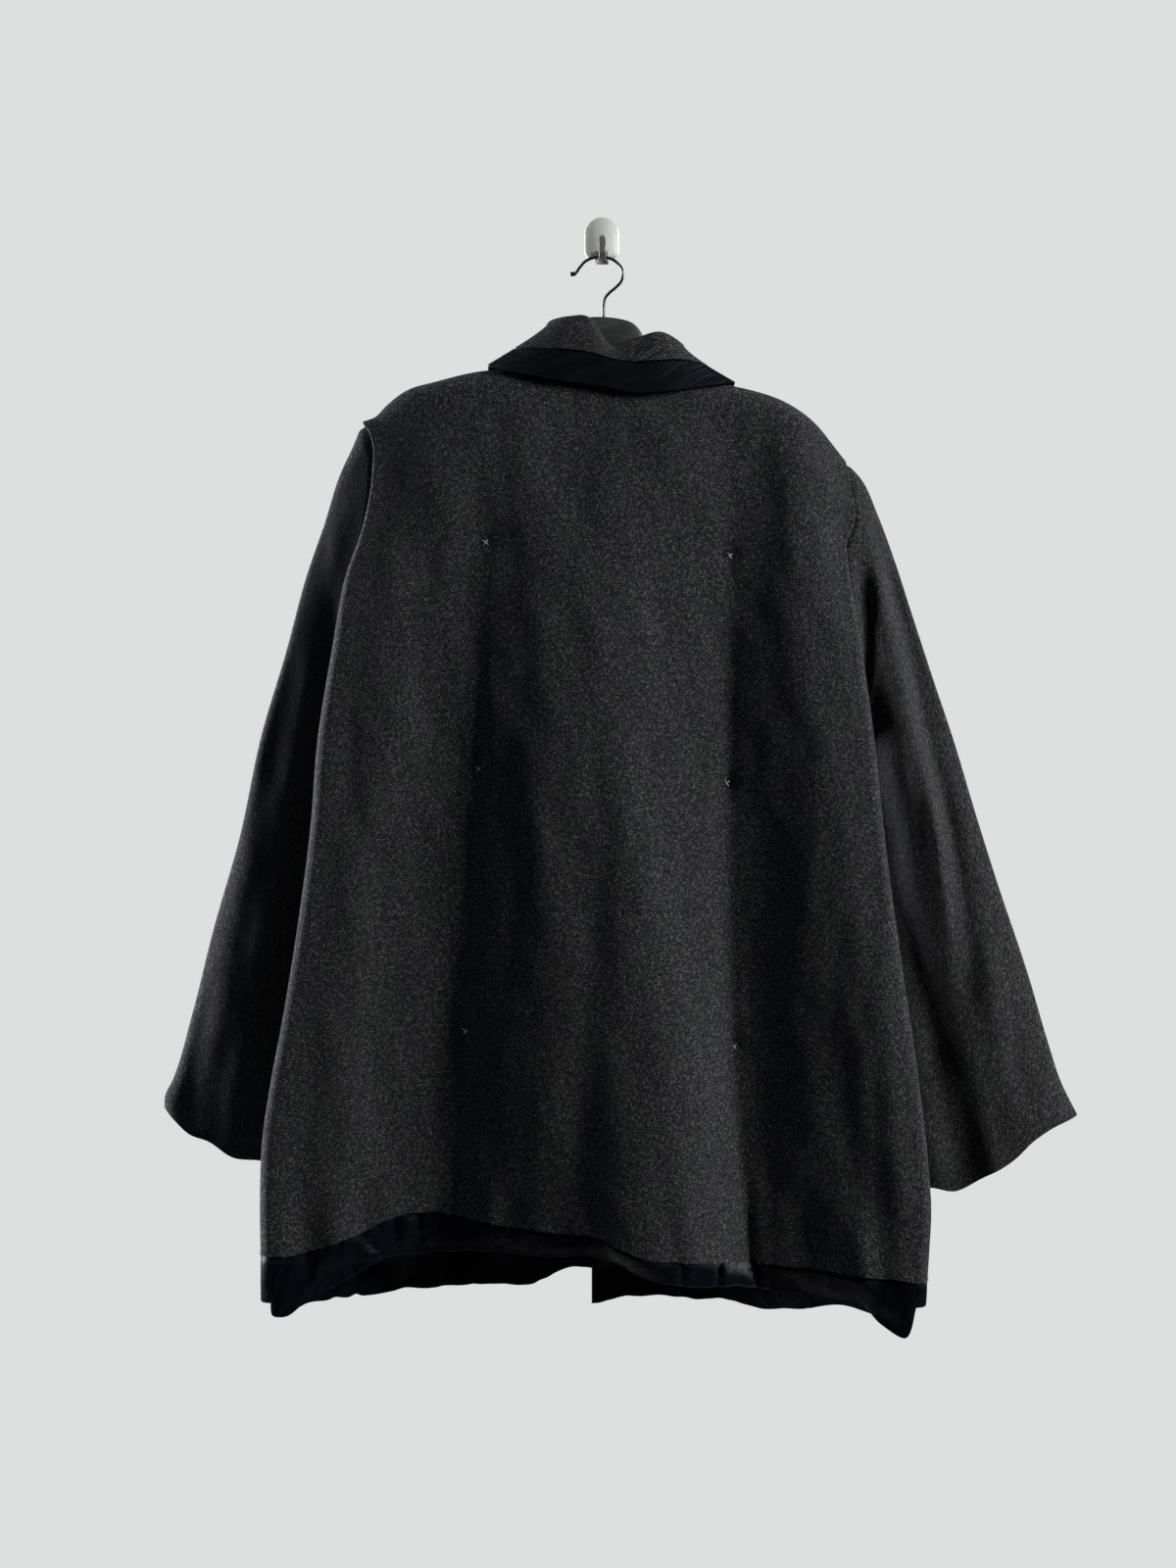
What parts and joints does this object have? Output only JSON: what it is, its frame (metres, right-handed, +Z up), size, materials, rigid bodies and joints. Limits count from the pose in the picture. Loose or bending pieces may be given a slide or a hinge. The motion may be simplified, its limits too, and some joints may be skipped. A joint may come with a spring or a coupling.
{
  "type": "frog-button jacket on a hanger and wall hook",
  "caption": "Roomy A-line wool jacket with satin bands at collar and hem, frog buttons and wide sleeves, hung back to the room on a plastic hanger and a small wall hook.",
  "frame": {"origin": "middle of the back face of the wall hook's plate, which lies on the wall plane y = 0", "axes": "+Z up, +Y into the wall, +X to the right as one faces the wall; the jacket hangs at negative y with its back to the room"},
  "size_m": [0.8779, 0.1213, 1.0629],
  "materials": {
    "wool": "matt melange coating wool with a short fuzzy pile",
    "satin": "black satin, softly shiny",
    "frog_cord": "black satin cord",
    "hanger_plastic": "dark moulded plastic",
    "hook_wire": "black painted wire",
    "steel": "brushed"
  },
  "bodies": {
    "root": {"back": "wool", "front_left": "wool", "front_right": "wool", "sleeve_left": "wool", "sleeve_right": "wool", "collar": "wool", "collar_band": "satin", "hem_band_back": "satin", "hem_band_front_left": "satin", "hem_band_front_right": "satin", "hanger_body": "hanger_plastic", "hanger_wire": "hook_wire", "wall_plate": "steel", "wall_peg": "steel", "frog_loop_1": "frog_cord", "frog_leaf_1": "frog_cord", "frog_knot_1": "frog_cord", "frog_loop_2": "frog_cord", "frog_leaf_2": "frog_cord", "frog_knot_2": "frog_cord", "frog_loop_3": "frog_cord", "frog_leaf_3": "frog_cord", "frog_knot_3": "frog_cord", "frog_loop_4": "frog_cord", "frog_leaf_4": "frog_cord", "frog_knot_4": "frog_cord"}
  },
  "joints": []
}
